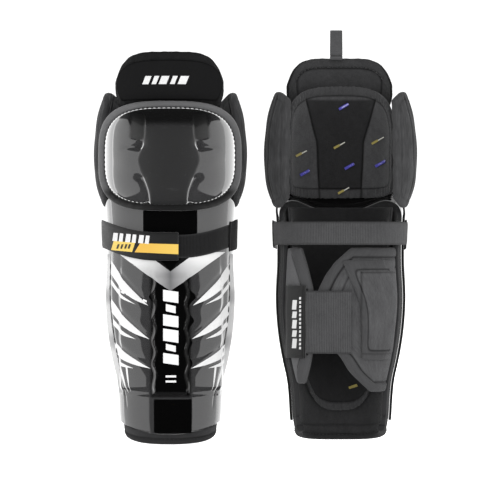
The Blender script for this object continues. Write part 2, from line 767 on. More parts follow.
# upper and lower edge of each pointed stroke, drawn for the left and mirrored
blades = [
    ([(-58, 182), (-45, 163.5), (-32, 149.5), (-20, 137.5)],
     [(-58, 168), (-47, 154), (-34, 144), (-20, 137.5)]),
    ([(-58, 163), (-46, 148.5), (-31.5, 138.5)], [(-58, 158), (-47, 145.5), (-31.5, 138.5)]),
    ([(-58, 144), (-45, 127.5), (-31, 114.5), (-19, 104.5)],
     [(-58, 131), (-47, 119), (-33, 110), (-19, 104.5)]),
    ([(-56, 124), (-44, 112), (-31.5, 104.5)], [(-56, 118), (-45, 108.5), (-31.5, 104.5)]),
    ([(-55, 102), (-43, 91), (-30, 82.5), (-18, 75.5)], [(-55, 91), (-44, 83.5), (-31, 78.5), (-18, 75.5)]),
    ([(-53, 86), (-44, 80), (-33.5, 75.5)], [(-53, 81), (-45, 77), (-33.5, 75.5)]),
    ([(-50, 82), (-45, 66), (-40, 50)], [(-47, 80), (-43, 66), (-40, 50)]),
    ([(-41.5, 78), (-40, 66), (-37.5, 52)], [(-39.5, 76), (-38.5, 66), (-37.5, 52)])]
white = []
for upper, lower in blades:
    white.append(printBetween(curvedLine(lower), curvedLine(upper), (26, 5)))
    white.append(printBetween(curvedLine(otherSide(upper)), curvedLine(otherSide(lower)), (26, 5)))
# the chevron runs from white to silver at its tip
chevron = ([(-52, 190), (1.5, 152)], [(-24, 190), (1.5, 171)])
for edges in (chevron, (otherSide(chevron[1]), otherSide(chevron[0]))):
    white.append(printBetween(*edges, (50, 16), lift=0.3, tones=(-0.3, 1)))
# pale strips behind the seams
for sign in (-1, 1):
    def stripAt(u, v, sign=sign):
        z = mix(50, 188, up(v))
        a = mix(59.5 + 9.5 * (z - 50) / 138, 80 - 6 * ease((90 - z) / 40), up(u))
        return wall(sign * a, z, 0.25)
    strip = gridPiece("strip", stripAt, (20, 138), (10, 60))
    if sign < 0:
        strip.data.flip_normals()
    paint(strip, "tone", 0.45 + 0.4 * dip(np.sin(points(strip)[:, 2] * 140), 1, 0.5))
    white.append(strip)
# generic bars down the middle, two ticks under them, and a row of dashes at the left
bar = {"middle": 1.8, "lean": 2.2, "rows": [(151, 140, 7), (137, 130, 4.5), (127, 116, 7), (113, 101, 7),
                                            (98, 92, 4.5), (89, 79, 7)]}
for top, low, half in bar["rows"]:
    left, right = bar["middle"] - half, bar["middle"] + half
    white.append(printBetween([(left, low + bar["lean"]), (right, low)],
                              [(left, top + bar["lean"]), (right, top)], (12, 8), lift=0.35))
for low in (67, 62):
    white.append(printBetween([(-3, low), (6.5, low)], [(-3, low + 2), (6.5, low + 2)], (6, 2), lift=0.35))
for k in range(6):
    start, low = -51 + 5.2 * k, 152 - 2.0 * k
    white.append(printBetween([(start, low), (start + 3.6, low - 1.5)],
                              [(start, low + 2), (start + 3.6, low + 0.5)], (4, 2), lift=0.3))
prints = joined("prints", *white)
smoothShade(prints)
pair(prints, "shell_prints", "shin", "shell_plastic", whiteInk)

black = [printBetween([(-15, 11.5), (22, 11.5)], [(-15, 45), (22, 45)], (26, 20)),
         printBetween([(-25, 205), (27.5, 205)], [(-25, 231.2), (27.5, 231.2)], (30, 16)),
         printBetween([(-16, 191), (18, 191)], [(1.4, 171.5), (1.6, 171.5)], (24, 12), lift=0.26)]
# the ridge's black panel, swelling round each pocket
height = np.linspace(49, 166, 118)
swell = [(146, 7), (122.5, 5), (101, 3.5), (80.5, 3.5)]
bulge = sum(size * dip(height, middle, 5.5) for middle, size in swell)
left, right = list(zip(-12.5 - bulge, height)), list(zip(19 + bulge, height))
black.append(printBetween(left, right, (130, 26), lift=0.12))
panels = joined("panels", *black)
smoothShade(panels)
pair(panels, "shell_panels", "shin", "shell_plastic", blackGloss)

stitch = {"length": 7, "gap": 3.5, "thick": 1.7, "high": 1.2, "lift": 0.35}
rows = []
for sign in (-1, 1):
    z = np.linspace(47, 180, 80)
    a = sign * seamAngle(z)
    path = wall(a, z, 0)
    rows.append(stitchRow("seam", path, wall(a, z, 1) - path, stitch))
seams = joined("seams", *rows)
pair(seams, "shell_stitches", "shin", "stitch_thread", threadBlack, "shell_stitching")


print("knee cap")
cap = {"wall": 2.5, "size": (150, 112), "cells": (150, 132), "edge": 7.5, "wrap": 62, "dome": 16,
       "narrowing": 0.9}
# how far the raised plate reaches to each side
plateLeft = sampled([[236, -18], [248, -19], [260, -23], [270, -27], [281, -29], [290, -26], [302, -23],
                     [322, -23]])
plateRight = sampled([[236, 18], [248, 19], [260, 23], [270, 27], [281, 30], [290, 28], [302, 25],
                      [322, 24]])


def capFace(x, z, depth):
    # x and z from -1 to 1 inside the outline, depth in mm behind the dome
    r = np.minimum(1, abs(x) ** capRound + abs(z) ** capRound)
    wrap = cap["edge"] + cap["wrap"] * np.sqrt(1 - 0.94 * np.minimum(1, x * x))
    inset = cap["narrowing"] * depth
    return np.stack([x * (capHalfWide - inset), -wrap - cap["dome"] * (1 - r) ** 0.6 + depth,
                     capZ + z * (capHalfHigh - inset)], -1)


def capAt(u, v):
    return capFace(capU(u, v), capU(v, u), 0)


def capRelief(x, z):
    left, right = read(plateLeft, z), read(plateRight, z)
    inside = np.minimum(x - left, right - x)
    plate = ease((inside + 2) / 3.5) * ease((318 - z) / 10)
    side = np.maximum(left - x, x - right)
    relief = 1.2 * plate
    # grooves that run out to the sides, with a deep inner end
    relief -= 2.0 * dip(z, 292.5, 2.6) * ease((side + 1) / 4) * ease((24 - side) / 16)
    relief -= 3.2 * np.exp(-((side - 3) / 4.2) ** 2 - ((z - 294.5) / 4) ** 2)
    # channels beside the plate's foot
    relief -= 2.2 * dip(side, 2.5, 3) * hat(z, 248, 12, 8)
    relief -= 3 * np.exp(-((side - 5) / 4.5) ** 2 - ((z - 262) / 3.5) ** 2)
    relief += 1.1 * np.exp(-((side - 9) / 11) ** 2 - ((z - 277) / 9) ** 2)
    # dark ears at both sides of the plate's top, and the shallow hollow over it
    ears = ease((17 - side) / 4) * ease((side + 2) / 3) * ease((330 - z) / 8)
    ears = ears * ease((z - 298 - 0.03 * (side - 6) ** 2) / 2.5)
    hollow = ease((z - 311) / 9) * ease((50 - abs(x - 1)) / 20)
    relief -= 0.6 * ears
    return relief, plate, ears, hollow


domed = gridPiece("domed", capAt, cap["size"], cap["cells"])
x, z = frontView(domed)
relief, plate, ears, hollow = capRelief(x, z)
emboss(domed, relief)
paint(domed, "dull", np.maximum(plate * (1 - hollow), 0.7 * ears))
paint(domed, "tone", (1 - ears) * (1 - hollow) * mix(1, 0.5, plate))
paint(domed, "crease", np.maximum(ears, hollow))
thicken(domed, cap["wall"])
bevelRim(domed, 0.6)
smoothShade(domed)
pair(domed, "cap_dome", "knee", "cap_plastic", capPlastic, "knee_cap")

rim = {"wide": 6.5, "thick": 4.6, "around": 200, "section": 18}


def capEdge(turn, out):
    # point out mm beyond the cap's edge
    x, z = np.sin(turn), -np.cos(turn)
    x, z = np.sign(x) * abs(x) ** (2 / capRound), np.sign(z) * abs(z) ** (2 / capRound)
    spot = capFace(x, z, 0)
    lean = 0.55 * out * abs(x) ** 6
    return spot + np.stack([x * out, lean, z * out], -1)


bpy.ops.object.select_all(action="DESELECT")
bpy.ops.mesh.primitive_torus_add(major_segments=rim["around"], minor_segments=rim["section"],
                                 major_radius=1, minor_radius=0.25)
roll = bpy.context.object
co = points(roll)
turn = np.arctan2(co[:, 0], -co[:, 1])
section = np.arctan2(co[:, 2], np.hypot(co[:, 0], co[:, 1]) - 1)
gather = 0.18 * np.sin(turn * 46) + 0.12 * np.sin(turn * 31 + 1)
out = rim["wide"] / 2 + 0.2 + (rim["wide"] / 2) * np.sign(np.cos(section)) * abs(np.cos(section)) ** 0.8
shaped = capEdge(turn, out)
shaped[:, 1] -= (rim["thick"] / 2 + gather) * np.sin(section)
place(roll, shaped * mm)
weave(roll, turn * 60 * mm, section * 3 * mm, section * 0 + 1)
paint(roll, "trim", ease((256 - shaped[:, 2]) / 8))
weldAll(roll)
smoothShade(roll, 180)
pair(roll, "cap_rim", "knee", "binding_fabric", rimCloth, "knee_cap_rim")

turn = np.linspace(0, 2 * np.pi, 400)
path = capEdge(turn, 0.2)
path[:, 1] -= 2.2
seam = stitchRow("rimSeam", path, np.tile([0, -1, 0], (400, 1)),
                 {"length": 3.4, "gap": 1.3, "thick": 1.5, "high": 1.3, "lift": 0.3})
pair(seam, "rim_seam", "knee", "stitch_thread", threadBlack)


def kneePadAt(u, v, side):
    x, z = 0.78 * roundOff(u, v, 0.4), 0.82 * roundOff(v, u, 0.4)
    return capFace(x, z, 6 + (1 - side) * (1 + 4 * crown(u, v)))


foam = soften(solidPiece("foam", kneePadAt, (104, 84), (16, 14)))
smoothShade(foam)
pair(foam, "knee_foam", "knee", "foam_pad", foamCloth, "knee_pad", fill=0.8)


print("thigh flap")
flap = {"thick": 12, "size": (128, 57), "cells": (46, 22), "sewn": 11.5, "halfWide": 70, "deep": 60,
        "turns": (51, 55.5), "low": 335, "high": 388, "drop": 33}


def flapWall(a, z, t):
    turn, z, t = np.broadcast_arrays(np.radians(a), z, t)
    return np.stack([(flap["halfWide"] + t) * np.sin(turn), -(flap["deep"] + t) * np.cos(turn), z], -1)


def flapFace(u, v, t):
    # the top falls by the drop at its two ends
    z = mix(flap["low"] - 3 * u * u, flap["high"] - flap["drop"] * abs(u) ** 4.6, up(v))
    return flapWall(mix(*flap["turns"], ease(up(v) * 1.5)) * u, z, t)


def secondCloth(name, size, material, share, where):
    # another cloth on the faces of both guards' piece where enough corners are chosen
    for hand in ("left_", "right_"):
        piece = bpy.data.objects[hand + name]
        piece.data.materials.append(material)
        chosen = where(*onCloth(piece, size))
        faces = np.array([chosen[list(p.vertices)].mean() > share for p in piece.data.polygons])
        piece.data.polygons.foreach_set("material_index", faces.astype(np.int32))


def flapAt(u, v, side):
    pinch = 3.4 * (1 - crown(u, v))
    return flapFace(0.985 * u, -0.01 + 0.975 * v, np.where(side > 0, -pinch, pinch - flap["thick"] + 1))


padding = solidPiece("padding", flapAt, flap["size"], flap["cells"])
u, v, side = onCloth(padding, flap["size"])
inset = edgeDistance(u, v, flap["size"])
hidden = ease((-0.7 - v) / 0.1)
held = np.clip(dip(inset, flap["sewn"], 1.8) + (inset < 0.5) + hidden, 0, 1)
puff(padding, held, 3.0, 2.6)
soften(padding)
u, v, side = onCloth(padding, flap["size"])
inset = edgeDistance(u, v, flap["size"])
ripple = np.sin(u * 33 + v * 4) + 0.6 * np.sin(v * 21 - u * 17) + 0.5 * np.sin(u * 61)
line = dip(inset, flap["sewn"], 1.2)
edgeLine = dip(inset, 2.2, 0.9) * (side > 0.5)
sewn(padding, 0.22 * ripple * hat(inset, 5, 5, 3) - 0.9 * line - 0.5 * edgeLine,
     trim=hat(inset, 0, 2.2, 1), crease=0.8 * line)
pair(padding, "flap_padding", "flap", "flap_fabric", flapCloth, "thigh_flap", fill=0.6)
secondCloth("flap_padding", flap["size"], flapBackCloth, 0.5, lambda u, v, side: side < 0.5)

turns = np.linspace(-0.86, 0.86, 160)
path = flapFace(turns, 0.62 - 0.02 * abs(turns), -flap["thick"] + 1.2)
seam = stitchRow("flapSeam", path, path * [-1, -1, 0],
                 {"length": 2.6, "gap": 1.8, "thick": 0.8, "lift": 0.1})
pair(seam, "flap_seam", "flap", "stitch_thread", threadBlack)

panel = {"size": (106, 40), "cells": (60, 26)}


def panelAt(u, v, side):
    swell = 1.0 * crown(u, v)
    x, z = 0.86 * roundOff(u, v, 0.12), -0.1 + 0.74 * roundOff(v, u, 0.22)
    return flapFace(x, z, 0.3 + side * (0.9 + swell))


face = soften(solidPiece("face", panelAt, panel["size"], panel["cells"]))
u, v, side = onCloth(face, panel["size"])
paint(face, "crease", 0.6 * hat(edgeDistance(u, v, panel["size"]), 0, 1, 1))
smoothShade(face)
pair(face, "flap_face", "flap", "flap_smooth", panelCloth, "flap_panel")

# generic slanted bars sewn on the flap
marks = []
for left, wide in ((-26, 6), (-17, 4.5), (-10, 7.5), (1, 4.5), (8.5, 8)):
    def at(u, v, left=left, wide=wide):
        x = left + wide * up(u) + 3.2 * up(v)
        return flapWall(np.degrees(np.arcsin(x / 72)), 354.5 + 8 * up(v), 2.6)
    marks.append(gridPiece("mark", at, printSize, (6, 5)))
mark = joined("mark", *marks)
thicken(mark, 0.4)
smoothShade(mark)
pair(mark, "flap_mark", "flap", "flap_smooth", labelInk)

# pull tab: doubled webbing, standing on the right guard and hanging on the left
tab = {"wide": 13, "hanging": 22, "standing": 30, "at": (-3, -45.8, 384), "cells": (14, 34)}


def tabAt(u, v, side, long):
    # a flat loop with a fold at its far end, pressed thin where it is sewn on
    reach = up(v)
    gap = 0.35 + 0.6 * np.sin(np.pi * reach) ** 2
    y = np.where(side > 0, -gap, gap) + 0.5 * np.sin(reach * 3)
    return np.stack([tab["at"][0] + tab["wide"] / 2 * u * (1 - 0.04 * reach), tab["at"][1] + y,
                     tab["at"][2] + 1 + long * reach], -1)


for side, standing in (("left_", False), ("right_", True)):
    size = (tab["wide"], tab["standing" if standing else "hanging"])
    loop = soften(solidPiece("loop", lambda u, v, face: tabAt(u, v, face, size[1]), size, tab["cells"]))
    u, v, face = onCloth(loop, size)
    line = dip(v, -0.72, 0.05)
    sewn(loop, 0.12 * np.sin(v * 70) - 0.25 * line - 0.2 * dip(abs(u), 0.86, 0.06), crease=0.6 * line)
    if not standing:
        hang = Matrix.Translation(Vector(tab["at"]) * mm) @ Matrix.Rotation(math.pi, 4, "X")
        loop.data.transform(hang @ Matrix.Translation(-Vector(tab["at"]) * mm))
    else:
        loop.data.transform(toRight)
        loop.data.flip_normals()
    loop.name = loop.data.name = side + "tab_loop"
    dress(loop, side + "tab", "webbing", tabWebbing, side + "pull_tab")


print("wings")
wing = {"thick": 9, "size": (64, 114), "cells": (24, 42), "turn": 100.5, "halfTurn": 33.5,
        "middle": 292, "halfHigh": 58, "deep": 45}


def wingChannels(u, v, wide):
    # two sewn lines down the pad
    seamU = 0.1 + 0.1 * v
    return np.maximum(dip(u, seamU - 0.13, wide), dip(u, seamU + 0.13, wide))


def wingAt(u, v, side):
    a = wing["turn"] + wing["halfTurn"] * roundOff(u, v, 0.3)
    z = wing["middle"] + wing["halfHigh"] * roundOff(v, u, 0.3)
    t = np.where(side > 0, 2 * (crown(u, v) - 1), -wing["thick"] - 2 * (crown(u, v) - 1))
    turn = np.radians(a)
    return np.stack([(read(wingWidth, z) + t) * np.sin(turn), -(wing["deep"] + t) * np.cos(turn), z], -1)


puffed = solidPiece("puffed", wingAt, wing["size"], wing["cells"])
u, v, side = onCloth(puffed, wing["size"])
inset = edgeDistance(u, v, wing["size"])
channels = wingChannels(u, v, 0.05) * hat(v, 0, 0.9, 0.1)
puff(puffed, np.clip(1.2 * channels + (inset < 0.4), 0, 1), 2.6, 2.2)
soften(puffed)
u, v, side = onCloth(puffed, wing["size"])
inset = edgeDistance(u, v, wing["size"])
channels = wingChannels(u, v, 0.035) * hat(v, 0, 0.95, 0.1)
folds = np.sin(v * 17 + 3 * u) * 0.3 * hat(inset, 4, 5, 4) + 0.25 * np.sin(v * 9 - u * 6)
sewn(puffed, folds - 1.1 * channels - 0.5 * dip(inset, 6.5, 0.9),
     crease=0.55 * channels + 0.3 * dip(inset, 6.5, 0.8))
mirrored = turnedCopy(puffed, "mirrored", otherHand)
for piece, name, bodies in ((puffed, "wing_plus", ("inner", "outer")),
                            (mirrored, "wing_minus", ("outer", "inner"))):
    right = turnedCopy(piece, "right_" + name, toRight)
    piece.name = piece.data.name = "left_" + name
    for one, side, body in ((piece, "left_", bodies[0]), (right, "right_", bodies[1])):
        dress(one, side + body + "_wing", "wing_fabric", wingCloth, side + body + "_wing", fill=0.6)


print("liners")
liner = {"thick": 8, "size": (168, 108), "cells": (80, 56), "bound": 8}


def kneeLinerAt(u, v, side):
    a = 94 * u
    z = mix(245 + 8 * u ** 4, 357 - 30 * abs(u) ** 3, up(v))
    thin = 2.2 * (1 - crown(u, v))
    return kneeWall(a, z, np.where(side > 0, -thin, thin - liner["thick"]))


def linerRelief(u, v, side, x, z):
    # how far the inside stands in, its seams, and its dark middle
    inside = side < 0.5
    inset = edgeDistance(u, v, liner["size"])
    bound = hat(inset, 0, liner["bound"], 1.5)
    gathers = np.sin(u * 95) * 0.35 + 0.25 * np.sin(u * 61 + v * 8) + 0.2 * np.sin(v * 43)
    edgeX = np.interp(z, [240, 302, 345], [21, 24, 36])
    centre = ease((edgeX - abs(x - 1)) / 2.5 + 0.5) * ease((345 - z) / 3)
    seam = np.maximum(dip(abs(x - 1), edgeX, 1.1) * ease((346 - z) / 3),
                      dip(inset, liner["bound"] + 0.6, 0.8))
    relief = (0.9 + gathers) * bound + 1.2 * (1 - centre) * (1 - bound) - 0.9 * seam
    return relief * inside, seam * inside, centre * (1 - bound) * inside, bound


lining = solidPiece("lining", kneeLinerAt, liner["size"], liner["cells"])
soften(lining)
u, v, side = onCloth(lining, liner["size"])
x, z = frontView(lining)
relief, seam, centre, bound = linerRelief(u, v, side, x, z)
sewn(lining, relief + 0.25 * np.sin(z / 7 + x / 11) * (side < 0.5),
     trim=bound, crease=np.clip(0.85 * seam + 0.72 * centre, 0, 1))
pair(lining, "knee_lining", "knee", "liner_fabric", linerCloth, "knee_liner", fill=0.7)


def markOn(face, x, z, long, high, slant):
    # slanted dash on a surface given by face(x, z)
    def at(u, v):
        return face(x + long / 2 * u * math.cos(slant) - high / 2 * v * math.sin(slant),
                    z + long / 2 * u * math.sin(slant) + high / 2 * v * math.cos(slant))
    return gridPiece("mark", at, (long, high), (8, 2))


def insideKnee(x, z):
    a = np.degrees(np.arcsin(np.clip(x / (read(kneeWidth, z) - liner["thick"]), -0.97, 0.97)))
    return kneeWall(a, z, -liner["thick"] - 2.6)


slant = math.radians(28)


def twoDashes(x, z, first, second):
    # a dark dash and a pale one beside it, each [sideways, up, long, high] from x, z
    dashes = []
    for tone, (aside, above, long, high) in enumerate((first, second)):
        dashes.append(markOn(insideKnee, x + aside, z + above, long, high, slant))
        paint(dashes[-1], "tone", tone)
    return dashes


blue, olive = [], []
for x, z in ((4.5, 337), (-37, 270), (11, 277), (43, 279)):
    blue += twoDashes(x, z, (0, 0, 11, 2.6), (1.5, 0.8, 8, 0.9))
for x, z in ((0, 298), (40, 302), (-41, 289), (4.5, 252)):
    olive += twoDashes(x, z, (-2.5, -1, 7, 2.2), (3.5, 2, 6, 1.0))
for group, name, ink in ((blue, "liner_marks_blue", blueInk), (olive, "liner_marks_olive", oliveInk)):
    mark = joined(name, *group)
    mark.data.flip_normals()
    thicken(mark, 0.3, even=False)
    pair(mark, name, "knee", "liner_fabric", ink)

shinLiner = {"thick": 5.5, "behind": 10.8, "size": (150, 180), "cells": (60, 70), "bound": 7}


def shinLinerAt(u, v, side):
    t = up(v)
    a = mix(60, 88, np.sqrt(t)) * u
    z = mix(30 + 34 * abs(u) ** 3, 235, t)
    thin = 1.6 * (1 - crown(u, v))
    back = -shinLiner["behind"]
    return wall(a, z, np.where(side > 0, back - thin, back + thin - shinLiner["thick"]))


lining = soften(solidPiece("lining", shinLinerAt, shinLiner["size"], shinLiner["cells"]))
u, v, side = onCloth(lining, shinLiner["size"])
inset = edgeDistance(u, v, shinLiner["size"], blend=8)
inside = side < 0.5
bound = hat(inset, 0, shinLiner["bound"], 1.5) * ease((0.9 - v) / 0.1)
gathers = np.sin(u * 60) * 0.3 + 0.3 * np.sin(u * 37 + v * 50)
seam = dip(inset, shinLiner["bound"] + 0.6, 0.9) * ease((0.9 - v) / 0.1)
sewn(lining, inside * ((0.9 + gathers) * bound - 0.9 * seam),
     trim=bound, crease=inside * np.clip(0.8 * seam + 0.75 * (1 - bound) * (1 - seam), 0, 1))
pair(lining, "shin_lining", "shin", "liner_fabric", linerCloth, "shin_liner", fill=0.7)


def insideShin(x, z):
    depth = shinLiner["behind"] + shinLiner["thick"]
    a = np.degrees(np.arcsin(np.clip(x / (read(halfWidth, z) - depth), -1, 1)))
    return wall(a, z, -depth - 0.9)


mark = joined("shinMark", markOn(insideShin, 14, 54, 9, 2.4, math.radians(18)),
              markOn(insideShin, 15, 55.4, 6, 0.8, math.radians(18)))
mark.data.flip_normals()
thicken(mark, 0.3, even=False)
pair(mark, "shin_liner_mark", "shin", "liner_fabric", oliveInk)

carrier = {"thick": 6, "size": (250, 230), "cells": (80, 74), "reach": 112, "rise": 12}


def linerFoot(a):
    # the lower edge rises towards its two ends
    return carrier["rise"] * (abs(a) / carrier["reach"]) ** 2.5


def carrierAt(u, v, side):
    a = carrier["reach"] * u
    z = mix(linerFoot(a) + 5, lip(a) - 4, up(v))
    thin = 1.6 * (1 - (1 - abs(u) ** 9) * (1 - abs(v) ** 12))
    return wall(a, z, np.where(side > 0, -2.9 - 0.2 * thin, thin - 3.2 - carrier["thick"]))


cushion = soften(solidPiece("cushion", carrierAt, carrier["size"], carrier["cells"]))
u, v, side = onCloth(cushion, carrier["size"])
x, z = frontView(cushion)
inside = side < 0.5
edge = (1 - abs(u)) * carrier["size"][0] / 2
seam = np.maximum(dip(edge, 7, 0.8), dip(z, 15 + linerFoot(carrier["reach"] * u), 0.8))
wave = 0.35 * np.sin(z / 9 + x / 13) + 0.2 * np.sin(x / 5 - z / 21)
sewn(cushion, inside * wave - 0.7 * seam, trim=hat(edge, 0, 7, 1), crease=0.75 * seam)
pair(cushion, "carrier_cushion", "shin", "liner_fabric", carrierCloth, "carrier_liner", fill=0.6)

ankle = {"cells": (150, 8), "size": (190, 9)}


def ankleAt(u, v, side):
    a = carrier["reach"] * u
    roundness = 2.2 * v ** 4 * (v < 0) + 0.6 * v ** 4 * (v > 0)
    t = mix(-9.6 + roundness, -2.6 - roundness, side)
    return wall(a, linerFoot(a) + mix(0, 7, up(v)), t)


binding = soften(solidPiece("binding", ankleAt, ankle["size"], ankle["cells"]))
u, v, side = onCloth(binding, ankle["size"])
sewn(binding, 0.1 * np.sin(u * 260) - 0.45 * dip(v, 0.55, 0.12), crease=0.6 * dip(v, 0.55, 0.12))
pair(binding, "ankle_roll", "shin", "binding_fabric", bindingCloth, "ankle_binding")
rows = []
for out, facing in ((-1.9, 1), (-10.2, -1)):
    a = np.linspace(-106, 106, 260)
    path = wall(a, linerFoot(a) + 5.4, out)
    rows.append(stitchRow("row", path, (wall(a, 40, 1) - wall(a, 40, 0)) * facing,
                          {"length": 2.6, "gap": 1.5, "thick": 0.7, "lift": 0}))
pair(joined("ankleSeam", *rows), "ankle_seam", "shin", "stitch_thread", threadGrey)

hookPatch = (20, 40)
strips = []
for sign in (-1, 1):
    for height in (80, 180):
        def at(u, v, side, sign=sign, height=height):
            return wall(sign * 38 + 12 * u, height + 20 * v, mix(-10.4, -9.7, side))
        strips.append(solidPiece("strip", at, hookPatch, (12, 24)))
hooks = joined("hooks", *strips)
u, v, side = onCloth(hooks, hookPatch)
sewn(hooks, 0.08 * np.sin(u * 40) * np.sin(v * 80))
pair(hooks, "liner_hooks", "shin", "hook_tape", hookTape, "liner_hook_strips")

# stretch cloth between cap and shell, in three soft folds
gusset = {"reach": 58, "cells": (60, 22), "bendsFrom": 0.2428, "bendsTo": 0.2485}


def gussetAt(u, v, side):
    a = gusset["reach"] * u
    z = mix(lip(a) - 3.4, 249, up(v))
    fold = 0.9 * np.cos(v * np.pi * 3) + 0.15 * np.sin(u * 30)
    return wall(a, z, mix(-7, -3.6, side) + fold * (1 - abs(v) ** 6))


bellows = soften(solidPiece("bellows", gussetAt, (120, 20), gusset["cells"]))
smoothShade(bellows)
right = turnedCopy(bellows, "right_gusset_bellows", toRight)
bellows.name = bellows.data.name = "left_gusset_bellows"
for side, one in (("left_", bellows), ("right_", right)):
    one.data.materials.append(stretchCloth)
    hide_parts(side + "knee_gusset")
    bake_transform(one)


print("straps")
strap = {"wide": 23, "thick": 2, "out": 0.8, "size": (400, 23), "cells": (220, 12), "front": 195.5,
         "rise": 13}


def strapZ(a):
    # its middle line, higher at the back than at the front
    return strap["front"] + strap["rise"] * ease((abs(a) - 10) / 75)


def strapProud(a):
    # it stands off at the sides, where it leaves the shell
    return 0.5 * dip(abs(a), 84, 14)


def strapTurn(u):
    # its ends meet 40 degrees left of the front, under the label
    return (320 + 180 * u) % 360 - 180


def strapAt(u, v, side):
    a = strapTurn(u)
    ruffle = 0.3 * np.sin(a / 7) * dip(abs(a), 95, 30)
    t = strap["out"] + strapProud(a) + ruffle * v + strap["thick"] * side
    edge = 0.5 * v ** 8
    return wall(a, strapZ(a) + strap["wide"] / 2 * v, t + np.where(side > 0, -edge, edge))


band = solidPiece("band", strapAt, strap["size"], strap["cells"])
weldAll(band)
soften(band)
u, v, side = onCloth(band, strap["size"])
sewn(band, 0.06 * np.sin(u * 900) - 0.15 * dip(abs(v), 0.82, 0.05), trim=hat(abs(v), 1, 0.16, 0.04))
pair(band, "knee_strap", "shin", "elastic_webbing", frontElastic, "upper_strap")
# its back is a paler elastic than its front
secondCloth("knee_strap", strap["size"], backElastic, 0.99, lambda u, v, side: abs(strapTurn(u)) > 86)


def onStrap(first, last, high, gap, thick, bow=0.0):
    def at(u, v, side):
        a = mix(first, last, up(u))
        edge = 0.4 * v ** 8
        t = strap["out"] + strap["thick"] + gap + strapProud(a) + bow * (1 - u ** 2) + thick * side
        return wall(a, strapZ(a) + high * v, t + np.where(side > 0, -edge, edge))
    return at


keeper = {"first": 60, "last": 76, "high": 15, "thick": 1.8, "bow": 1.2, "size": (18, 30)}
keeperAt = onStrap(keeper["first"], keeper["last"], keeper["high"], 0.6, keeper["thick"], keeper["bow"])
fold = soften(solidPiece("fold", keeperAt, keeper["size"], (24, 22)))
u, v, side = onCloth(fold, keeper["size"])
sewn(fold, 0.35 * np.sin(u * 5 + 1) * ease(up(v)) - 0.3 * dip(abs(u), 0.75, 0.08))
pair(fold, "strap_fold", "shin", "elastic_webbing", frontElastic, "strap_keeper")

tape = {"first": -78, "last": 8, "high": 14, "gap": 0.6, "thick": 2.2, "size": (98, 28)}
tapeAt = onStrap(tape["first"], tape["last"], tape["high"], tape["gap"], tape["thick"])
label = soften(solidPiece("label", tapeAt, tape["size"], (90, 18)))
u, v, side = onCloth(label, tape["size"])
line = dip(abs(v), 0.88, 0.03)
sewn(label, (side > 0.5) * (0.2 * np.sin(u * 11 + 2 * v) * (1 - abs(v)) - 0.25 * line), crease=0.5 * line)
pair(label, "strap_label", "strap_end", "label_tape", labelTape, "strap_hook_tab")


def onTape(x, z, lift):
    a = np.degrees(np.arcsin(np.clip(x / 69, -1, 1)))
    face = strap["out"] + strap["thick"] + tape["gap"] + tape["thick"]
    return wall(a, z, face + strapProud(a) + lift)


def tapePrint(first, second, cells, tones=(0, 0), lift=0.25):
    return printBetween(first, second, cells, lift, tones, face=onTape)


# six bars, two blocks under them and four ticks on the first block
bars = []
for k, wide in enumerate((6, 5, 6, 5, 6, 5)):
    left = -56 + 6.5 * k
    low = 201 - 0.085 * (left + 56)
    bars.append(tapePrint([(left, low), (left + wide - 1, low - 0.4)],
                          [(left + 1.5, low + 8), (left + wide, low + 7.6)], (5, 4)))
pair(joined("tapeBars", *bars), "strap_bars", "strap_end", "label_tape", labelInk)
blocks = [tapePrint([(-57.5, 192), (-36, 190)], [(-54.5, 201), (-33, 199)], (16, 4)),
          tapePrint([(-33.5, 189.8), (9.5, 187.8)], [(-28, 198.6), (9.5, 197.6)], (24, 4), tones=(1, 0.3))]
pair(joined("tapeBlocks", *blocks), "strap_blocks", "strap_end", "label_tape", yellowInk)
ticks = []
for left in (-52, -48, -44, -40.5):
    ticks.append(tapePrint([(left, 193.4), (left + 2, 193.2)], [(left + 1.6, 197.8), (left + 3.6, 197.6)],
                           (3, 3), lift=0.4))
pair(joined("tapeTicks", *ticks), "strap_ticks", "strap_end", "label_tape", darkInk)


print("calf wraps")
wrap = {"thick": 7, "start": 116, "wideSize": (110, 142), "narrowSize": (40, 134)}


def piping(inset, middle, half):
    # the round of a bound edge, from 0 to 1
    return np.sqrt(np.clip(1 - ((inset - middle) / half) ** 2, 0, 1))


def wideAt(u, v, side):
    z = mix(52, 194, up(v))
    a = mix(wrap["start"], backAngle(read(wideEdge, z), z, wrapOut), up(u))
    thin = 2.0 * (1 - (1 - np.maximum(u, 0) ** 6) * (1 - v ** 8))
    return wall(a, z, np.where(side > 0, wrapOut - thin, wrapOut - wrap["thick"] + thin))


wide = soften(solidPiece("wide", wideAt, wrap["wideSize"], (60, 72)))
u, v, side = onCloth(wide, wrap["wideSize"])
x, z = frontView(wide)
inset = np.minimum(abs(x - read(wideEdge, z)) * 0.8 + 100 * (u < 0), (1 - abs(v)) * 71)
bound = hat(inset, 0, 8.5, 1.5)
seam = dip(inset, 9.2, 0.9)
outside = side > 0.5
second = dip(inset, 19, 0.9) * (z > 140)
edging = outside * (1.5 * piping(inset, 4.2, 5) - 0.9 * seam - 0.6 * second)
sewn(wide, edging + 0.12 * np.sin(z / 3 + x / 4) * bound,
     trim=bound, crease=outside * np.clip(0.9 * seam + 0.6 * second, 0, 1))
pair(wide, "wide_wrap_pad", "wide_wrap", "wrap_fabric", wrapCloth, "wide_wrap", fill=0.6)


def narrowAt(u, v, side):
    z = mix(60, 194, up(v))
    a = mix(backAngle(read(narrowEdge, z), z, wrapOut), 360 - wrap["start"], up(u))
    thin = 1.6 * (1 - (1 - np.maximum(-u, 0) ** 6) * (1 - v ** 8))
    return wall(a, z, np.where(side > 0, wrapOut - thin, wrapOut - wrap["thick"] + thin))


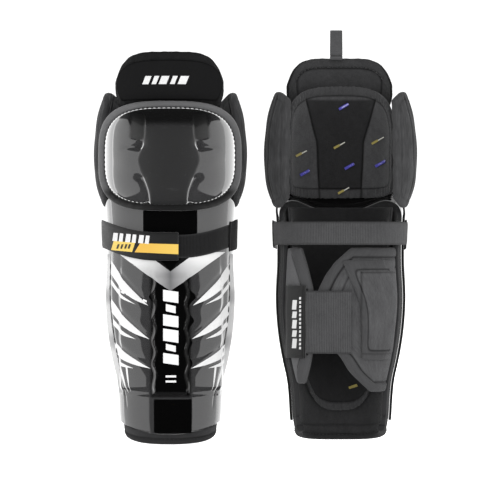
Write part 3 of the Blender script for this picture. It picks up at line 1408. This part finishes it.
narrow = soften(solidPiece("narrow", narrowAt, wrap["narrowSize"], (32, 68)))
u, v, side = onCloth(narrow, wrap["narrowSize"])
x, z = frontView(narrow)
inset = abs(x - read(narrowEdge, z)) * 0.9 + 100 * (u > 0.3)
bound = hat(inset, 0, 8, 1.2)
seam = dip(inset, 8.6, 0.8)
outside = side > 0.5
sewn(narrow, outside * (1.2 * piping(inset, 4, 4.6) - 0.7 * seam), trim=bound, crease=outside * 0.8 * seam)
pair(narrow, "narrow_wrap_pad", "narrow_wrap", "wrap_fabric", knitLight, "narrow_wrap", fill=0.6)

calf = {"thick": 6.5, "size": (74, 98), "cells": (30, 40)}


def calfAt(u, v, side):
    z = mix(84, 182, up(v))
    a = mix(122, backAngle(read(padEdge, z), z, 0), up(u))
    swell = calf["thick"] - 3.6
    return wall(a, z, wrapOut + 0.5 + side * (1.6 + swell * crown(u, v)))


raised = solidPiece("raised", calfAt, calf["size"], calf["cells"])
u, v, side = onCloth(raised, calf["size"])
inset = edgeDistance(u, v, calf["size"])
puff(raised, np.clip((side < 0.5) + dip(inset, 9, 1.6) + (inset < 0.5), 0, 1), 3.0, 2.0)
soften(raised, 2)
u, v, side = onCloth(raised, calf["size"])
x, z = frontView(raised)
inset = edgeDistance(u, v, calf["size"])
bound = hat(inset, 0, 8.2, 1.2) * (u > -0.4)
seam = dip(inset, 9, 0.9) * (u > -0.6)
block = hat(x, 38, 19, 2.5) * hat(z, 130, 40, 2.5)
rimLine = dip(abs(x - 38), 19, 1.0) * hat(z, 130, 41, 2) + dip(abs(z - 130), 40, 1.0) * hat(x, 38, 20, 2)
outside = side > 0.5
relief = 0.9 * block - 0.5 * np.clip(rimLine, 0, 1) - 0.7 * seam
relief += 0.8 * piping(inset, 4, 5) * (u > -0.4) + 0.3 * np.sin(z / 11 + x / 7)
sewn(raised, outside * relief, trim=bound, crease=outside * np.clip(0.8 * seam + 0.45 * rimLine, 0, 1))
pair(raised, "calf_cushion", "wide_wrap", "wrap_fabric", wrapCloth, "calf_pad", fill=0.7)

# the elastic across the calf, the label at its end and the loop patch under that
across = {"middle": 121, "out": -1.0, "thick": 2.4, "elastic": (44, 62), "label": (20, 72),
          "patch": (18, 66)}


def acrossCalf(first, last, high, out, thick):
    def at(u, v, side):
        z = across["middle"] + high * v
        a = mix(backAngle(first, z, out), backAngle(last, z, out), up(u))
        edge = 0.35 * v ** 12
        return wall(a, z, out + thick * side + np.where(side > 0, -edge, edge))
    return at


elasticAt = acrossCalf(9, -34.6, 31, across["out"], 2)
elastic = soften(solidPiece("elastic", elasticAt, across["elastic"], (40, 44)))
u, v, side = onCloth(elastic, across["elastic"])
sewn(elastic, (side > 0.5) * (0.35 * np.sin(v * 5) * np.sin(u * 2.5) + 0.08 * np.sin(u * 130)),
     trim=hat(abs(v), 1, 0.05, 0.02))
pair(elastic, "calf_elastic", "wide_wrap", "elastic_webbing", backElastic, "calf_strap")

labelAt = acrossCalf(-35, -54, 36, across["out"], across["thick"])
hook = soften(solidPiece("hook", labelAt, across["label"], (26, 70)))
u, v, side = onCloth(hook, across["label"])
line = dip(abs(u), 0.85, 0.06)
sewn(hook, (side > 0.5) * (0.3 * np.sin(v * 6) - 0.3 * line - 0.3 * dip(abs(v), 0.95, 0.02)),
     crease=0.5 * line)
pair(hook, "calf_label", "wide_wrap", "label_tape", labelTape, "calf_hook_tab")


def calfPrint(x0, x1, z0, z1, lean):
    def at(u, v):
        z = mix(z0, z1, up(v))
        x = mix(x0, x1, up(u)) + lean * up(v)
        return wall(backAngle(x, z, 1.5), z, across["out"] + across["thick"] + 0.35)
    piece = gridPiece("calfPrint", at, (4, 6), (4, 4))
    piece.data.flip_normals()
    return piece


# five bars up the label, and a row of small squares beside them
bars = []
low = 95
for high in (11, 8, 10, 8, 11):
    bars.append(calfPrint(-49, -44.8, low, low + high - 1.6, 0.8))
    low += high + 0.3
low = 94
for k in range(13):
    bars.append(calfPrint(-42, -40.2, low, low + 2.4, 0.2))
    low += 4.1
pair(joined("calfBars", *bars), "calf_bars", "wide_wrap", "label_tape", labelInk)

patch = solidPiece("patch", acrossCalf(-33, -50, 33, wrapOut + 0.3, 1), across["patch"], (20, 66))
u, v, side = onCloth(patch, across["patch"])
sewn(patch, 0.06 * np.sin(u * 50) * np.sin(v * 150))
pair(patch, "loop_fuzz", "narrow_wrap", "hook_tape", hookTape, "loop_patch")


print("camera and light")
view = {"from": (0.0795, -3, 0.192), "sensor": 36, "lens": 216}
camera = bpy.data.objects.new("camera", bpy.data.cameras.new("camera"))
bpy.context.collection.objects.link(camera)
camera.location = view["from"]
camera.rotation_euler = (math.radians(90), 0, 0)
camera.data.sensor_width = view["sensor"]
camera.data.lens = view["lens"]
bpy.context.scene.camera = camera

floor = {"size": 30, "below": 0.0005, "glow": 0.85}
bpy.ops.object.select_all(action="DESELECT")
bpy.ops.mesh.primitive_plane_add(size=floor["size"], location=(0, 0, -floor["below"]))
ground = bpy.context.object
ground.name = "floor"
material, tree, shader = newMaterial("floorPaint")
speckle = addNode(tree, "ShaderNodeTexNoise", {"Scale": 3.0}).outputs[0]
plugIn(tree, shader, {
    "Base Color": mixed(tree, speckle, (0.9, 0.9, 0.9, 1), (0.93, 0.93, 0.93, 1)), "Roughness": 1,
    "Emission Color": (1, 1, 1, 1), "Emission Strength": floor["glow"]})
ground.data.materials.append(material)
ground.visible_glossy = False
ground.visible_shadow = False
ground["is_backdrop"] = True

world = bpy.data.worlds.new("studio")
bpy.context.scene.world = world
world.use_nodes = True
tree = world.node_tree
rays = addNode(tree, "ShaderNodeLightPath", {}).outputs
ambient = {"Is Camera Ray": 1.2, "Is Diffuse Ray": 1.0, "Is Glossy Ray": 0.05}
level = 0.0
for ray, share in ambient.items():
    level = added(tree, level, times(tree, rays[ray], share))
plugIn(tree, tree.nodes["Background"], {"Strength": level, "Color": (1, 1, 1, 1)})


def softbox(name, spot, aim, size, power, mirrored=True):
    lamp = bpy.data.lights.new(name, "AREA")
    lamp.shape = "RECTANGLE"
    lamp.size, lamp.size_y = size
    lamp.energy = power
    box = bpy.data.objects.new(name, lamp)
    bpy.context.collection.objects.link(box)
    box.location = spot
    box.rotation_euler = (Vector(aim) - Vector(spot)).to_track_quat("-Z", "Y").to_euler()
    box.visible_camera = False
    box.visible_glossy = mirrored


# tall walls of light at both sides, open to the front and the back
pairMiddle = 0.085
walls = {"away": 1.3, "size": (2.1, 1.7), "back": -0.15, "high": 0.15, "power": 12}
for side in (-1, 1):
    softbox(f"wall{side}", (pairMiddle + side * walls["away"], walls["back"], walls["high"]),
            (pairMiddle, walls["back"], walls["high"]), walls["size"], walls["power"])
softbox("screen", (pairMiddle, 2.4, 0.5), (pairMiddle, 0, 0.5), (7, 3), 110)
for facing in (-1, 1):
    softbox(f"fill{facing}", (pairMiddle, facing * 2.2, 0.9), (pairMiddle, 0, 0.2), (2.0, 1.4), 30,
            mirrored=False)
# the pieces don't mirror each other
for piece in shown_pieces():
    piece.visible_glossy = False

bpy.context.scene.view_settings.view_transform = "Standard"
low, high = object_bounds()
